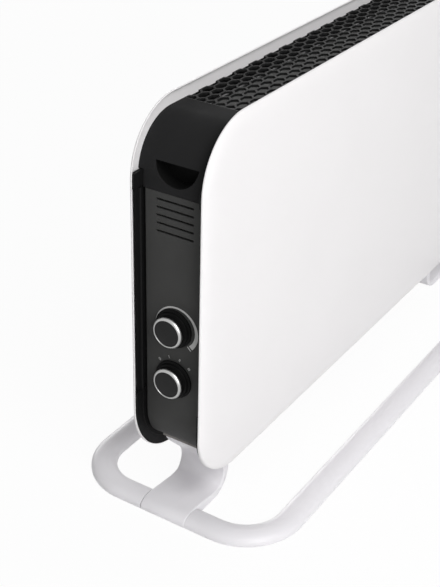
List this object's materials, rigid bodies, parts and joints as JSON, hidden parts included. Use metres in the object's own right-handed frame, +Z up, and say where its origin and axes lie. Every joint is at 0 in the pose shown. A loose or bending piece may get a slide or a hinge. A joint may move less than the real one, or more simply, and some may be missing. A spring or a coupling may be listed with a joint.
{
  "type": "panel convector heater",
  "caption": "Free-standing electric panel convector heater with white covers, a black core, dials at one end and a flat rail base.",
  "frame": {"origin": "on the floor under the middle of the heater", "axes": "+X along the heater away from the controls, -Y to the front, +Z up"},
  "size_m": [0.6866, 0.2572, 0.4425],
  "materials": {
    "cover_white": "fine satin powder coat",
    "core_black": "matt moulded",
    "cap_black": "satin moulded",
    "panel_grey": "fine matt texture",
    "zinc_sheet": "zinc plated",
    "dark_sheet": "heat resistant matt",
    "bright_aluminium": "bright rolled",
    "bare_aluminium": "extruded",
    "rod_steel": "drawn",
    "ceramic": "unglazed ceramic",
    "terminal_white": "moulded",
    "switch_brown": "phenolic moulding",
    "knob_black": "satin moulded",
    "satin_silver": "satin plated",
    "disc_grey": "matt",
    "gland_rubber": "matt",
    "base_white": "satin painted",
    "foot_white": "satin moulded"
  },
  "bodies": {
    "heater": {"air_deflector": "dark_sheet", "bottom_plate": "zinc_sheet", "control_panel": "panel_grey", "cord_gland": "gland_rubber", "cover_screws": "rod_steel", "element_rod": "rod_steel", "foot_screws": "rod_steel", "front_cover": "cover_white", "front_heat_shield": "bright_aluminium", "front_rail": "base_white", "heating_element": "bare_aluminium", "left_bulkhead": "zinc_sheet", "left_cap": "cap_black", "left_end_frame": "core_black", "left_foot": "foot_white", "left_insulator": "ceramic", "rear_cover": "cover_white", "rear_heat_shield": "bright_aluminium", "rear_rail": "base_white", "right_bulkhead": "zinc_sheet", "right_cap": "cap_black", "right_end_frame": "core_black", "right_foot": "foot_white", "right_insulator": "ceramic", "right_panel": "panel_grey", "selector_body": "switch_brown", "selector_nut": "rod_steel", "terminal_block": "terminal_white", "thermal_cutout": "rod_steel", "thermostat_body": "switch_brown", "thermostat_nut": "rod_steel", "top_grille": "core_black"},
    "thermostat_dial": {"thermostat_knob": "knob_black", "thermostat_ring": "satin_silver", "thermostat_disc": "disc_grey", "thermostat_spindle": "rod_steel"},
    "selector_dial": {"selector_knob": "knob_black", "selector_ring": "satin_silver", "selector_disc": "disc_grey", "selector_spindle": "rod_steel"}
  },
  "joints": [
    {"name": "thermostat_turn", "type": "hinge", "parent": "heater", "child": "thermostat_dial", "pos_m": [-0.3205, 0, 0.2242], "axis": [1, 0, 0], "range_deg": [0, 240]},
    {"name": "selector_turn", "type": "hinge", "parent": "heater", "child": "selector_dial", "pos_m": [-0.3205, 0, 0.1651], "axis": [1, 0, 0], "range_deg": [0, 90]}
  ]
}
